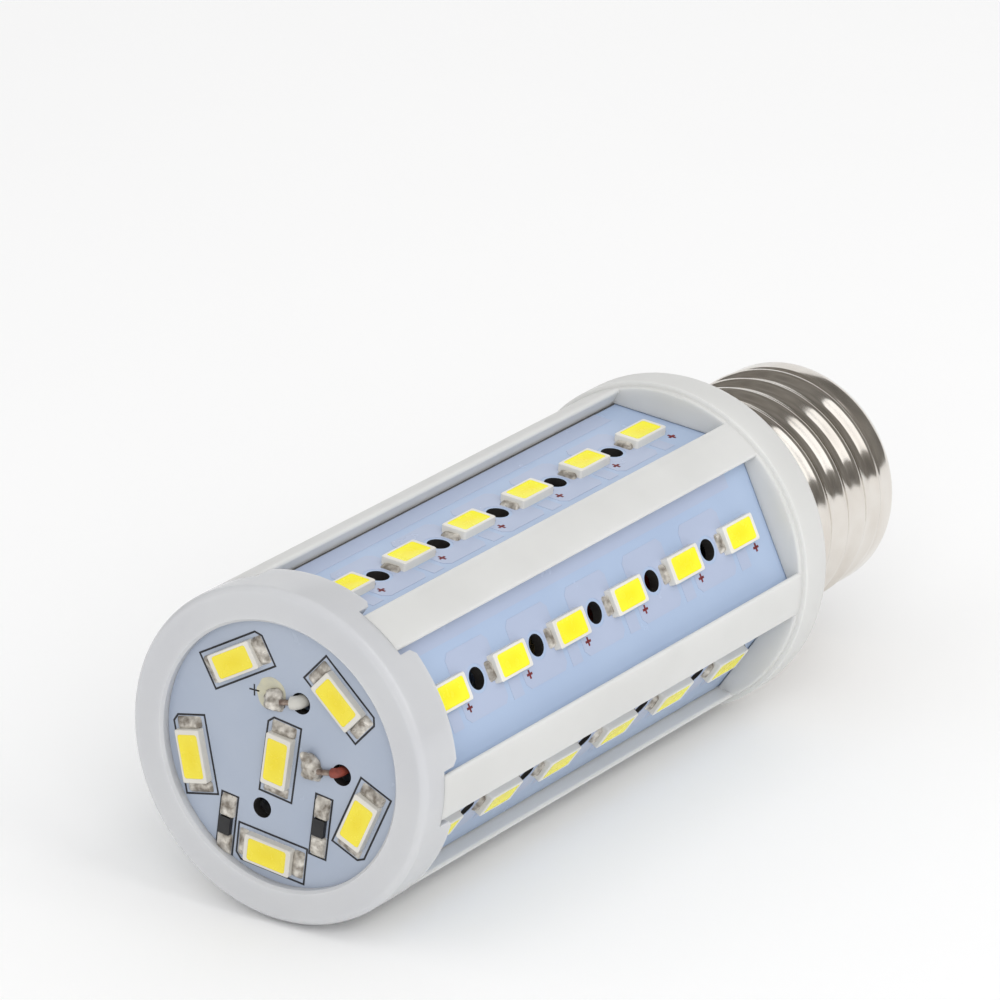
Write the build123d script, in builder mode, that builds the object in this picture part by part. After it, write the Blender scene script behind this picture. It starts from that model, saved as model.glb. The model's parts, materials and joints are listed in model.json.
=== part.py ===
from build123d import *
import math
import os

# LED lamp with an E27 screw base, lying on its side. Its axis runs along Y: the front end with the
# round board faces -Y and the screw base points to +Y. The origin lies on the surface under the
# lamp, below its middle. Lengths are millimetres and angles degrees. A station is a distance from
# the front face, back along the axis.

# Body
body_radius = 18.0  # outer face of the ribs and of the front cap
collar_step = 0.5  # collar behind the windows, over the ribs; the widest place
strip_count = 6  # boards round the body, each in its own window
lie_turn = 5.3  # how far the lamp has rolled from lying with one board straight up

# Clearances
slide_clearance = 0.1  # boards in their grooves, cap over the ribs, screw shell over its spigot
seam_gap = 0.1  # front cap to the ends of the ribs
nearly = 0.01  # tolerance when edges are picked by their place

# Front cap
cap_rim = 3.75  # width of the ring round the end board
cap_lip = 1.2  # lip in front of the end board
cap_wall = 1.5
cap_seam = 3.5  # station where the outer faces of the ribs begin
cap_tongue = 5.7  # station where the skirt ends inside the windows
cap_edge_round = 0.8
cap_opening_bevel = 0.3
cap_corner_cut = 0.6  # cut corners of the skirt's tongues

# End board and strip boards
end_board_thickness = 1.2
board_thickness = 1.2
board_sink = 3.3  # strips' LED faces below the outer faces of the ribs
board_front_gap = 0.3  # end board to the front ends of the strips
board_tail = 1.0  # how far the strips reach into the collar
board_hole_radius = 1.2

# LEDs on the strips and on the end board
led_count = 6
first_led = 10.6  # station of the strips' first LED
led_pitch = 10.9
led_length = 5.7
led_width = 3.0
led_height = 0.95
glow_length = 4.7  # yellow window in an LED's top
glow_width = 2.45
glow_depth = 0.25
solder_length = 0.8  # solder at both ends of an LED
solder_width = 2.2
solder_height = 0.3
end_led_count = 5
end_led_inset = 3.45  # outer LEDs' middles inside the cap's opening
end_led_start = 118.9  # direction of the first outer LED, seen from the front, from +X
end_ring_place = (-0.021, -0.035)  # middle of the ring of outer LEDs
centre_led_place = (-0.028, -0.049)
centre_led_turn = 81.0

# Other pieces on the end board. Places on it are shares of the opening's radius, across and up
resistor_insets = (2.5302, 6.0132)  # resistors' middles inside the cap's opening
resistor_directions = (232.5588, 303.1402)  # directions of the resistors, seen from the front, from +X
resistor_turn = 82.0
resistor_length = 3.2
resistor_width = 1.6
resistor_height = 0.55
vent_place = (-0.19, -0.456)
vent_radius = 1.1
wire_hole_places = ((0.154, 0.414), (0.498, -0.049))
wire_hole_radius = 1.15
joint_places = ((-0.056, 0.393), (0.26, -0.063))
joint_radius = 1.2
joint_height = 1.1
joint_reach = 0.5  # from a joint's middle to the end of its lead

# Housing
rib_width = 5.9  # across the outer face of a rib
rib_neck = 2.57  # rib between two neighbouring strips
rib_seat = 1.5  # ledge under each long edge of a strip
rib_back = 1.2  # depth of that ledge
rib_edge_round = 0.3
window_tail = 5.9  # last LED's middle to the wall at the end of the window
collar_gap = 0.5  # end of the windows to the foot of the step at the collar
collar_rise = 0.7  # length of that step
frame_ring = 6.0  # solid rings of the frame behind both ends of the strips
web_thickness = 2.2
collar_length = 3.5
collar_wall = 2.4
shoulder_radius = 3.5
shoulder_turn = 60.0
neck_step = 2.0  # collar's end face round the rim of the screw shell
spigot_length = 8.0
spigot_wall = 1.5

# Screw base
thread_crest_radius = 13.1
thread_depth = 1.1
thread_pitch = 3.629
thread_flank = 45.0  # slope of the thread's sides
thread_crest_turn = 20.0  # part of the rounded crest that is one flat, to each side of its top
shell_sheet = 0.35
rim_length = 1.6  # plain stretch before the thread
thread_length = 16.0
band_step = 0.15  # plain band after the thread, below its crests
band_length = 1.5
band_slope = 0.8
base_round = 1.5
base_lip = 2.75  # end of the shell, turned in over the insulator
insulator_flange = 1.0  # reach of the insulator behind the shell's end
insulator_depth = 1.5
insulator_height = 3.7
insulator_tip_radius = 6.2
contact_radius = 5.4
contact_edge = 0.6
contact_height = 1.6
stem_radius = 1.0
stem_length = 4.6

# Driver inside the lamp
driver_width = 16.0
driver_length = 34.0
driver_thickness = 1.0
driver_drop = 6.0  # top face of the driver board below the axis
driver_rear_gap = 0.6
film_capacitor_size = (13.0, 6.0, 9.0)
film_capacitor_place = (3.5, -2.6)
electrolytic_radius = 4.0
electrolytic_length = 12.0
electrolytic_place = (4.0, 5.2)
rectifier_size = (4.7, 3.9, 1.5)
rectifier_place = (20.0, 0.0)
fuse_radius = 1.3
fuse_length = 6.5
fuse_place = (26.5, 4.6)
wire_radius = 0.5
wire_bend = 0.8
wire_rise = 1.5  # neutral lead behind the spigot's end
wire_lift = 0.05  # wires over the faces they lie on
pad_inset = 2.5  # wire ends on the driver board, in from its edges

# Places along the axis and round it
strip_step = 360 / strip_count
half_step = strip_step / 2
collar_radius = body_radius + collar_step
cap_opening_radius = body_radius - cap_rim
end_led_radius = cap_opening_radius - end_led_inset
board_face = body_radius - board_sink
board_width = 2 * board_face * math.tan(math.radians(half_step)) - rib_neck
thread_root_radius = thread_crest_radius - thread_depth
band_radius = thread_crest_radius - band_step
base_hole_radius = band_radius - base_lip
neck_radius = thread_root_radius + neck_step
led_stations = [first_led + led_pitch * count for count in range(led_count)]
hole_stations = [station + led_pitch / 2 for station in led_stations[:-1]]
window_end = led_stations[-1] + window_tail
axis_height = collar_radius
rib_front = cap_lip + end_board_thickness
board_front = rib_front + board_front_gap
board_rear = window_end + board_tail
board_back = board_face - board_thickness
rib_bore_radius = board_back - rib_back
step_start = window_end + collar_gap
step_end = step_start + collar_rise
cap_bore_radius = body_radius - cap_wall
rib_root_radius = cap_bore_radius - slide_clearance
web_end = window_end + web_thickness
shoulder_start = window_end + collar_length
shoulder_centre = collar_radius - shoulder_radius
turn = math.radians(shoulder_turn)
shoulder_out = (shoulder_centre + shoulder_radius * math.cos(turn), shoulder_start + shoulder_radius * math.sin(turn))
neck = shoulder_out[1] + (shoulder_out[0] - neck_radius) / math.tan(turn)
cavity_round = shoulder_radius - collar_wall
shell_bore_radius = thread_root_radius - shell_sheet
spigot_radius = shell_bore_radius - slide_clearance
spigot_bore_radius = spigot_radius - spigot_wall
spigot_end = neck + spigot_length
cavity_out = (shoulder_centre + cavity_round * math.cos(turn), shoulder_start + cavity_round * math.sin(turn))
cavity_end = cavity_out[1] + (cavity_out[0] - spigot_bore_radius) / math.tan(turn)
thread_start = neck + rim_length
thread_end = thread_start + thread_length
band_end = thread_end + band_length
shell_end = band_end + base_round
insulator_end = shell_end + insulator_height
contact_tip = insulator_end + contact_height
front_y = -contact_tip / 2
driver_rear = spigot_end - driver_rear_gap
driver_front = driver_rear - driver_length
driver_top = axis_height - driver_drop


def place(x, station, height):
    """A point given by its distance from the axis plane, its station and its height over the axis."""
    return Vector(x, front_y + station, axis_height + height)


def facing(angle):
    """The direction across the axis at this angle, counted from straight up towards +X."""
    return Vector(math.sin(math.radians(angle)), 0, math.cos(math.radians(angle)))


def tangent_plane(angle, distance):
    """A plane beside the axis: its x is the station, its y runs round the lamp."""
    return Plane(origin=place(0, 0, 0), x_dir=(0, 1, 0), z_dir=facing(angle)).offset(distance)


def cross_plane(angle, station):
    """A plane across the axis: its y points out from the axis at this angle."""
    return Plane(origin=place(0, station, 0), x_dir=facing(angle - 90), z_dir=(0, 1, 0))


def end_plane(station):
    """A plane across the axis, seen from the front: x is X and y is Z, both from the axis."""
    return Plane(origin=place(0, station, 0), x_dir=(1, 0, 0), z_dir=(0, -1, 0))


def on_end_board(spot):
    """X and Z, from the axis, of a place on the end board that is given in shares of the opening's radius."""
    return (spot[0] * cap_opening_radius, spot[1] * cap_opening_radius)


def axis_distance(point):
    """How far a point is from the lamp's axis."""
    return math.hypot(point.X, point.Z - axis_height)


def on_window_mouth(edge):
    """Whether an edge runs along the outer corner of a rib, or over the end of a window."""
    span = edge.bounding_box()
    outside = all(axis_distance(corner) > body_radius - nearly for corner in edge.vertices())
    before_collar = span.max.Y < front_y + window_end + nearly
    along_rib = span.size.Y > rib_width
    over_end = span.min.Y > front_y + window_end - nearly
    return outside and before_collar and (along_rib or over_end)


def on_cap_opening(edge):
    """Whether an edge is the front edge of the cap's round opening."""
    span = edge.bounding_box()
    return span.max.Y < front_y + nearly and axis_distance(edge.vertices()[0]) < cap_opening_radius + nearly


def save(piece, name):
    """Labels a finished piece and writes it to its own file."""
    piece.label = name
    export_step(piece, f"parts/{name}.step")


def led_set(face, spots, name):
    """LED packages on a board's face: white packages, yellow windows, and solder at both ends."""
    with BuildPart() as packages:
        with BuildSketch(face):
            with Locations(*spots):
                Rectangle(led_length, led_width)
        extrude(amount=led_height)
        with BuildSketch(face.offset(led_height)):
            with Locations(*spots):
                Rectangle(glow_length, glow_width)
        extrude(amount=-glow_depth, mode=Mode.SUBTRACT)
    save(packages.part, f"{name}_led_packages")

    with BuildPart() as windows:
        with BuildSketch(face.offset(led_height - glow_depth)):
            with Locations(*spots):
                Rectangle(glow_length, glow_width)
        extrude(amount=glow_depth)
    save(windows.part, f"{name}_led_windows")


def solder_ends(spots, length):
    """Adds the two solder fillets beside each chip of this length to the sketch that is open."""
    reach = (length + solder_length) / 2
    with Locations(*spots):
        with Locations((reach, 0), (-reach, 0)):
            Rectangle(solder_length, solder_width)


os.makedirs("parts", exist_ok=True)
axis_line = Axis(place(0, 0, 0), (0, 1, 0))
strip_turns = [lie_turn + strip_step * index for index in range(strip_count)]
rib_turns = [angle + half_step for angle in strip_turns]
profile_plane = Plane(origin=place(0, 0, 0), x_dir=facing(lie_turn), z_dir=facing(lie_turn).cross(Vector(0, 1, 0)))

# Window and board groove in a cross-section: x runs along the board, y out from the axis. The sides
# lean under the ribs' outer edges, so each rib holds the boards on both sides of it.
rib_half_angle = math.degrees(math.asin(rib_width / 2 / body_radius))
mouth_angle = math.radians(half_step - rib_half_angle)
mouth = (body_radius * math.sin(mouth_angle), body_radius * math.cos(mouth_angle))
groove_side = board_width / 2 + slide_clearance
groove_top = board_face + slide_clearance
lean = (mouth[0] - groove_side) / (mouth[1] - groove_top)
clear_height = collar_radius + cap_wall
clear_side = groove_side + lean * (clear_height - groove_top)
window_outline = [
    (clear_side, clear_height),
    (groove_side, groove_top),
    (groove_side, board_back),
    (-groove_side, board_back),
    (-groove_side, groove_top),
    (-clear_side, clear_height),
]

# Housing: six ribs, the collar with its rounded shoulder, and the spigot for the screw shell
with BuildPart() as housing:
    with BuildSketch(profile_plane):
        with BuildLine():
            Polyline(
                (rib_bore_radius, rib_front),
                (rib_root_radius, rib_front),
                (rib_root_radius, cap_seam),
                (body_radius, cap_seam),
                (body_radius, step_start),
            )
            Spline(
                (body_radius, step_start),
                (collar_radius, step_end),
                tangents=((0, 1), (0, 1)),
            )
            Line((collar_radius, step_end), (collar_radius, shoulder_start))
            CenterArc((shoulder_centre, shoulder_start), shoulder_radius, 0, shoulder_turn)
            Polyline(
                shoulder_out,
                (neck_radius, neck),
                (spigot_radius, neck),
                (spigot_radius, spigot_end),
                (spigot_bore_radius, spigot_end),
                (spigot_bore_radius, cavity_end),
                cavity_out,
            )
            CenterArc((shoulder_centre, shoulder_start), cavity_round, shoulder_turn, -shoulder_turn)
            Polyline(
                (collar_radius - collar_wall, shoulder_start),
                (collar_radius - collar_wall, web_end),
                (rib_bore_radius, web_end),
                (rib_bore_radius, rib_front),
            )
        make_face()
    revolve(axis=axis_line)
    for angle in strip_turns:
        with BuildSketch(cross_plane(angle, 0)):
            with BuildLine():
                Polyline(*window_outline, close=True)
            make_face()
        extrude(amount=window_end, mode=Mode.SUBTRACT)
        with BuildSketch(tangent_plane(angle, board_back)):
            with Locations(((window_end + board_rear) / 2, 0)):
                Rectangle(board_tail + 2 * slide_clearance, 2 * groove_side)
        extrude(amount=groove_top - board_back, mode=Mode.SUBTRACT)
        with BuildSketch(tangent_plane(angle, board_back)):
            with Locations(((rib_front + window_end) / 2, 0)):
                Rectangle(window_end - rib_front - 2 * frame_ring, board_width - 2 * rib_seat)
        extrude(amount=-board_back / 2, mode=Mode.SUBTRACT)
    slot_height = driver_top - driver_thickness / 2 - axis_height
    with BuildSketch(Plane(origin=place(0, shoulder_start, slot_height), x_dir=(1, 0, 0), z_dir=(0, 1, 0))):
        Rectangle(driver_width + 2 * slide_clearance, driver_thickness + 2 * slide_clearance)
    extrude(amount=spigot_end - shoulder_start, mode=Mode.SUBTRACT)
    fillet(housing.edges().filter_by(on_window_mouth), rib_edge_round)
save(housing.part, "housing")

# Front cap: a lip round the end board and a skirt with tongues that reach into the windows
notch_half = rib_width / 2 + slide_clearance
with BuildPart() as front_cap:
    with BuildSketch(profile_plane):
        with BuildLine():
            Line((cap_opening_radius, 0), (body_radius - cap_edge_round, 0))
            CenterArc((body_radius - cap_edge_round, cap_edge_round), cap_edge_round, -90, 90)
            Polyline(
                (body_radius, cap_edge_round),
                (body_radius, cap_tongue),
                (cap_bore_radius, cap_tongue),
                (cap_bore_radius, cap_lip),
                (cap_opening_radius, cap_lip),
                (cap_opening_radius, 0),
            )
        make_face()
    revolve(axis=axis_line)
    for angle in rib_turns:
        with BuildSketch(tangent_plane(angle, body_radius)):
            with BuildLine():
                Polyline(
                    (cap_seam - seam_gap, notch_half),
                    (cap_tongue - cap_corner_cut, notch_half),
                    (cap_tongue, notch_half + cap_corner_cut),
                    (cap_tongue, -notch_half - cap_corner_cut),
                    (cap_tongue - cap_corner_cut, -notch_half),
                    (cap_seam - seam_gap, -notch_half),
                    close=True,
                )
            make_face()
        extrude(amount=-2 * cap_wall, mode=Mode.SUBTRACT)
    chamfer(front_cap.edges().filter_by(on_cap_opening), cap_opening_bevel)
save(front_cap.part, "front_cap")

# Strip boards with their LEDs: six alike, turned round the axis
for index, angle in enumerate(strip_turns, start=1):
    face = tangent_plane(angle, board_face)
    spots = [Location((station, 0, 0)) for station in led_stations]
    with BuildPart() as strip_board:
        with BuildSketch(tangent_plane(angle, board_back)):
            with Locations(((board_front + board_rear) / 2, 0)):
                Rectangle(board_rear - board_front, board_width)
            with Locations(*[(station, 0) for station in hole_stations]):
                Circle(board_hole_radius, mode=Mode.SUBTRACT)
        extrude(amount=board_thickness)
    save(strip_board.part, f"strip_{index}_board")
    led_set(face, spots, f"strip_{index}")
    with BuildPart() as strip_solder:
        with BuildSketch(face):
            solder_ends(spots, led_length)
        extrude(amount=solder_height)
    save(strip_solder.part, f"strip_{index}_solder")

# End board: round, clamped between the cap's lip and the ribs
end_face = end_plane(cap_lip)
end_spots = [Location((*on_end_board(centre_led_place), 0), (0, 0, centre_led_turn))]
ring_middle = on_end_board(end_ring_place)
for count in range(end_led_count):
    angle = end_led_start - count * 360 / end_led_count
    spot_x = ring_middle[0] + end_led_radius * math.cos(math.radians(angle))
    spot_z = ring_middle[1] + end_led_radius * math.sin(math.radians(angle))
    end_spots.append(Location((spot_x, spot_z, 0), (0, 0, angle + 90)))
resistor_spots = []
for inset, direction in zip(resistor_insets, resistor_directions):
    from_axis = cap_opening_radius - inset
    spot_x = from_axis * math.cos(math.radians(direction))
    spot_z = from_axis * math.sin(math.radians(direction))
    resistor_spots.append(Location((spot_x, spot_z, 0), (0, 0, resistor_turn)))
wire_holes = [on_end_board(spot) for spot in wire_hole_places]
joints = [on_end_board(spot) for spot in joint_places]

with BuildPart() as end_board:
    with BuildSketch(end_face):
        Circle(rib_root_radius)
        with Locations(*wire_holes):
            Circle(wire_hole_radius, mode=Mode.SUBTRACT)
        with Locations(on_end_board(vent_place)):
            Circle(vent_radius, mode=Mode.SUBTRACT)
    extrude(amount=-end_board_thickness)
save(end_board.part, "end_board")
led_set(end_face, end_spots, "end")

with BuildPart() as end_solder:
    with BuildSketch(end_face):
        solder_ends(end_spots, led_length)
    extrude(amount=solder_height)
save(end_solder.part, "end_solder")

with BuildPart() as chip_resistors:
    with BuildSketch(end_face):
        with Locations(*resistor_spots):
            Rectangle(resistor_length, resistor_width)
    extrude(amount=resistor_height)
save(chip_resistors.part, "chip_resistors")

with BuildPart() as resistor_solder:
    with BuildSketch(end_face):
        reach = (resistor_length + solder_length) / 2
        with Locations(*resistor_spots):
            with Locations((reach, 0), (-reach, 0)):
                Rectangle(solder_length, resistor_width)
    extrude(amount=solder_height)
save(resistor_solder.part, "resistor_solder")

# Two leads from the driver, through the end board and over its face to their solder joints
wire_height = wire_radius + wire_lift
pad_height = driver_top + wire_height - axis_height
pad_side = driver_width / 2 - pad_inset
pad_station = driver_front + pad_inset
lead_names = ("positive_lead", "negative_lead")
lead_ends = []
for name, side, hole, joint in zip(lead_names, (-1, 1), wire_holes, joints):
    over_hole = place(hole[0], cap_lip - wire_height, hole[1])
    joint_point = place(joint[0], cap_lip - wire_height, joint[1])
    toward_hole = (over_hole - joint_point).normalized()
    lead_end = joint_point + toward_hole * joint_reach
    lead_ends.append((lead_end, toward_hole))
    lead_start = place(side * pad_side, pad_station, pad_height)
    with BuildPart() as lead:
        with BuildLine(mode=Mode.PRIVATE) as route:
            FilletPolyline(lead_start, over_hole, lead_end, radius=wire_bend)
        with BuildSketch(Plane(origin=lead_start, z_dir=over_hole - lead_start)):
            Circle(wire_radius)
        sweep(path=route.line)
    save(lead.part, name)

with BuildPart() as lead_joints:
    for joint, (lead_end, toward_hole) in zip(joints, lead_ends):
        dome_plane = Plane(origin=place(joint[0], cap_lip, joint[1]), x_dir=(1, 0, 0), z_dir=(0, 0, 1))
        dome_round = (joint_radius ** 2 + joint_height ** 2) / (2 * joint_height)
        with BuildSketch(dome_plane):
            with BuildLine():
                RadiusArc((joint_radius, 0), (0, -joint_height), dome_round)
                Polyline((0, -joint_height), (0, 0), (joint_radius, 0))
            make_face()
        revolve(axis=Axis(dome_plane.origin, (0, 1, 0)))
        with BuildSketch(Plane(origin=lead_end, z_dir=toward_hole)):
            Rectangle(4 * joint_radius, 4 * joint_radius)
        extrude(amount=joint_radius, mode=Mode.SUBTRACT)
save(lead_joints.part, "lead_joints")

# Screw shell: a sheet sleeve with the rounded E27 thread, a plain band, and an end turned inwards
crest_round = (thread_pitch ** 2 / 4 + thread_depth ** 2) / (4 * thread_depth)
flank = math.radians(thread_flank)
flank_top = (thread_depth - crest_round * (1 - math.sin(flank)), crest_round * math.cos(flank))
foot = flank_top[1] + flank_top[0] * math.tan(math.pi / 2 - flank)
crest_half = crest_round * math.sin(math.radians(thread_crest_turn))
sheet_inside = base_round - shell_sheet
with BuildPart() as screw_shell:
    with BuildLine(mode=Mode.PRIVATE) as thread_path:
        Helix(thread_pitch, thread_length, thread_root_radius, center=place(0, thread_start, 0), direction=(0, 1, 0))
    helix_start = thread_path.line @ 0
    outward = helix_start - place(0, thread_start, 0)
    with BuildSketch(Plane(origin=helix_start, x_dir=outward, z_dir=thread_path.line % 0)):
        with BuildLine():
            Polyline(
                (0, -foot),
                (flank_top[0], -flank_top[1]),
                (thread_depth, -crest_half),
                (thread_depth, crest_half),
                flank_top,
                (0, foot),
                (-shell_sheet / 2, foot),
                (-shell_sheet / 2, -foot),
                close=True,
            )
        make_face()
    sweep(path=thread_path.line, is_frenet=True)
    # The thread rises from the rim over one turn and runs out into the band over the last turn
    with BuildSketch(profile_plane):
        with BuildLine():
            Polyline(
                (shell_bore_radius, thread_start),
                (thread_root_radius, thread_start),
                (thread_crest_radius + shell_sheet, thread_start + thread_pitch),
                (thread_crest_radius + shell_sheet, thread_end - thread_pitch),
                (band_radius - shell_sheet, thread_end + band_slope),
                (shell_bore_radius, thread_end + band_slope),
                close=True,
            )
        make_face()
    revolve(axis=axis_line, mode=Mode.INTERSECT)
    with BuildSketch(profile_plane):
        with BuildLine():
            Polyline(
                (shell_bore_radius, neck),
                (thread_root_radius, neck),
                (thread_root_radius, thread_end - band_slope),
                (band_radius, thread_end),
                (band_radius, band_end),
            )
            CenterArc((band_radius - base_round, band_end), base_round, 0, 90)
            Polyline(
                (band_radius - base_round, shell_end),
                (base_hole_radius, shell_end),
                (base_hole_radius, shell_end - shell_sheet),
                (band_radius - base_round, shell_end - shell_sheet),
            )
            CenterArc((band_radius - base_round, band_end), sheet_inside, 90, -90)
            Polyline(
                (band_radius - shell_sheet, band_end),
                (band_radius - shell_sheet, thread_end),
                (shell_bore_radius, thread_end - band_slope),
                (shell_bore_radius, neck),
            )
        make_face()
    revolve(axis=axis_line)
save(screw_shell.part, "screw_shell")

# Insulator: a cone in the end of the shell, with a flange that seats behind the turned-in edge
plug_radius = base_hole_radius - slide_clearance
seat = shell_end - shell_sheet
with BuildPart() as insulator:
    with BuildSketch(profile_plane):
        with BuildLine():
            Polyline(
                (stem_radius + slide_clearance, seat - insulator_depth),
                (base_hole_radius + insulator_flange, seat - insulator_depth),
                (base_hole_radius + insulator_flange, seat),
                (plug_radius, seat),
                (plug_radius, shell_end),
                (insulator_tip_radius, insulator_end),
                (stem_radius + slide_clearance, insulator_end),
                close=True,
            )
        make_face()
    revolve(axis=axis_line)
save(insulator.part, "insulator")

# Centre contact: a low button on the insulator, with a stem down to the live lead
with BuildPart() as centre_contact:
    with BuildSketch(profile_plane):
        with BuildLine():
            Polyline(
                (0, insulator_end - stem_length),
                (stem_radius, insulator_end - stem_length),
                (stem_radius, insulator_end),
                (contact_radius, insulator_end),
                (contact_radius, insulator_end + contact_edge),
            )
            Line((contact_radius, insulator_end + contact_edge), (contact_radius - contact_edge, contact_tip))
            Polyline(
                (contact_radius - contact_edge, contact_tip),
                (0, contact_tip),
                (0, insulator_end - stem_length),
            )
        make_face()
    revolve(axis=axis_line)
save(centre_contact.part, "centre_contact")

# Driver: a board held in slots of the spigot, with its parts lying on it
driver_plane = Plane(origin=(0, front_y + driver_front, driver_top), x_dir=(0, 1, 0), z_dir=(0, 0, 1))
with BuildPart() as driver_board:
    with BuildSketch(driver_plane):
        with Locations((driver_length / 2, 0)):
            Rectangle(driver_length, driver_width)
    extrude(amount=-driver_thickness)
save(driver_board.part, "driver_board")


def driver_block(size, spot, name):
    """A box-shaped driver part; its spot is its front edge's middle on the driver board."""
    with BuildPart() as block:
        with BuildSketch(driver_plane):
            with Locations((spot[0] + size[0] / 2, spot[1])):
                Rectangle(size[0], size[1])
        extrude(amount=size[2])
        fillet(block.edges().group_by(Axis.Z)[-1], min(size) / 8)
    save(block.part, name)


def driver_can(radius, length, spot, name):
    """A round driver part lying along the axis; its spot is its front end on the driver board."""
    with BuildPart() as can:
        with BuildSketch(Plane(origin=driver_plane.from_local_coords((spot[0], spot[1], radius)), z_dir=(0, 1, 0))):
            Circle(radius)
        extrude(amount=length)
        chamfer(can.edges(), radius / 8)
    save(can.part, name)


driver_block(film_capacitor_size, film_capacitor_place, "film_capacitor")
driver_block(rectifier_size, rectifier_place, "bridge_rectifier")
driver_can(electrolytic_radius, electrolytic_length, electrolytic_place, "electrolytic_capacitor")
driver_can(fuse_radius, fuse_length, fuse_place, "fuse_resistor")

# Mains leads: from the driver board to the contact's stem and to the screw shell
stem_end = insulator_end - stem_length
mains_start = driver_rear - 2 * pad_inset
mains_bend = spigot_end + wire_rise
live_points = (
    place(0, mains_start, pad_height),
    place(0, mains_bend, 0),
    place(0, stem_end, 0),
)
shell_reach = math.sqrt((shell_bore_radius - wire_lift) ** 2 - (wire_radius - pad_height) ** 2)
neutral_points = (
    place(pad_side / 2, mains_start, pad_height),
    place(pad_side / 2, mains_bend, pad_height),
    place(shell_reach, mains_bend, pad_height),
)
for name, points in (("live_lead", live_points), ("neutral_lead", neutral_points)):
    with BuildPart() as mains_lead:
        with BuildLine(mode=Mode.PRIVATE) as route:
            FilletPolyline(*points, radius=wire_bend)
        with BuildSketch(Plane(origin=points[0], z_dir=points[1] - points[0])):
            Circle(wire_radius)
        sweep(path=route.line)
    save(mains_lead.part, name)
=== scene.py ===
import json
import math

import bmesh
import bpy
from mathutils import Matrix, Vector, noise
from mathutils.geometry import interpolate_bezier


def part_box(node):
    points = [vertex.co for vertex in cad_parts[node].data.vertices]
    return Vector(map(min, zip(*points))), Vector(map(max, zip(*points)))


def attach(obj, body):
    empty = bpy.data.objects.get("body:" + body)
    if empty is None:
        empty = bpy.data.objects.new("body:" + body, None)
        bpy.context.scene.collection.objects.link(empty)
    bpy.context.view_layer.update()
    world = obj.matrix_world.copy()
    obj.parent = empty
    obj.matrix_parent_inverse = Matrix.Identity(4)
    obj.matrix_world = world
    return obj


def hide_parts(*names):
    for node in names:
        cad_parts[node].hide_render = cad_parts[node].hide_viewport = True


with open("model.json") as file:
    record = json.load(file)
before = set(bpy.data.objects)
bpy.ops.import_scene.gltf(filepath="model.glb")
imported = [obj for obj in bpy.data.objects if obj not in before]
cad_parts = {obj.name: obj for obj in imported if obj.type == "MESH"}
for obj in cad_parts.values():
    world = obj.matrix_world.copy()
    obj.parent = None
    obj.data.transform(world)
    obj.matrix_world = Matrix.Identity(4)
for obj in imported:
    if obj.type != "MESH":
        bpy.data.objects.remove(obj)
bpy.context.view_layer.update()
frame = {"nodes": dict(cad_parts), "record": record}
nodes = frame["nodes"]

# The solder's uneven forms come out the same in every run
SOLDER_SEED = 3
noise.seed_set(SOLDER_SEED)

# Lengths below are millimetres, as in the part's source; mm() turns them into the frame's metres.
MM = 0.001

# Places read from the frame
FRONT_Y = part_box("front_cap")[0].y
AXIS_Z = (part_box("centre_contact")[0].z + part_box("centre_contact")[1].z) / 2
END_FACE_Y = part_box("end_board")[0].y

# Strips round the body
STRIP_COUNT = 6
STRIP_STEP = 360 / STRIP_COUNT
LIE_TURN = 5.3
BOARD_FACE = 14.7
BOARD_HALF = 7.2
LED_COUNT = 6
FIRST_LED = 10.6
LED_PITCH = 10.9

# LEDs
LED_LENGTH = 5.7
LED_WIDTH = 3.0
LED_HEIGHT = 0.95
LED_CORNER = 0.22
LED_EDGE = 0.07
GLOW_LENGTH = 4.7
GLOW_WIDTH = 2.45
GLOW_CORNER = 0.3
GLOW_DEPTH = 0.25
GLOW_GAP = 0.012
MENISCUS = 0.06
BOWL_SHARE = (0.8, 0.72)

# Solder at the ends of a chip: length, width and height, then how it narrows and leans
STRIP_SOLDER = (0.8, 2.2, 0.42)
END_SOLDER = (1.2, 3.0, 0.4)
SOLDER_FOOT_CORNER = 0.25
SOLDER_WAIST = (0.85, 0.92, 0.22)
SOLDER_CROWN = (0.4, 0.74, 0.15)
SOLDER_LEAN = 0.22
SOLDER_WAIST_LEAN = 0.35
SOLDER_NOISE_SCALE = 900
SOLDER_NOISE = 0.09

# Copper under the strips' mask, and print
COPPER_RELIEF = 0.03
PAD_LENGTH = 7.55
PAD_WIDTH = 7.55
PAD_CLEAR_RADIUS = 1.55
PAD_SIDES = 32
PLATE_CORNER = 0.05
TAB_LENGTH = 1.9
TAB_WIDTH = 2.05
TAB_ACROSS = -2.83
RAIL_INNER = 4.8
RAIL_END = 67.0
RAIL_START = 4.0
# A dark strip along one long edge of each strip's board: painted shade of the gap under the rib
GAP_SHADE_WIDTH = 0.22
GAP_SHADE_END = 70.95
PLUS_REACH = 0.95
PLUS_LINE = 0.26
PLUS_PLACE = (2.75, -2.3)
PRINT_HEIGHT = 0.02

# End board
END_LED_COUNT = 5
END_LED_RADIUS = 10.8
END_LED_START = 118.9
END_RING_MIDDLE = (-0.3, -0.5)
CENTRE_LED = (-0.4, -0.7, 261.0)
LED_PRINT = (8.65, 4.2)
LED_PRINT_CUT = 0.7
RESISTORS = ((-7.12, -9.3, 82.0), (4.5, -6.9, 82.0))
RESISTOR_PRINT = (7.0, 2.25)
RESISTOR_SIZE = (3.2, 0.55)
RESISTOR_BLACK = 1.9
RESISTOR_COAT = 1.35
RESISTOR_SOLDER = (1.75, 1.75)
PRINT_LINE = 0.21
CUT_INSET = 0.586
END_PLUS = (-3.48, 6.13)
END_PLUS_REACH = 1.24
END_PLUS_LINE = 0.17

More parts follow.
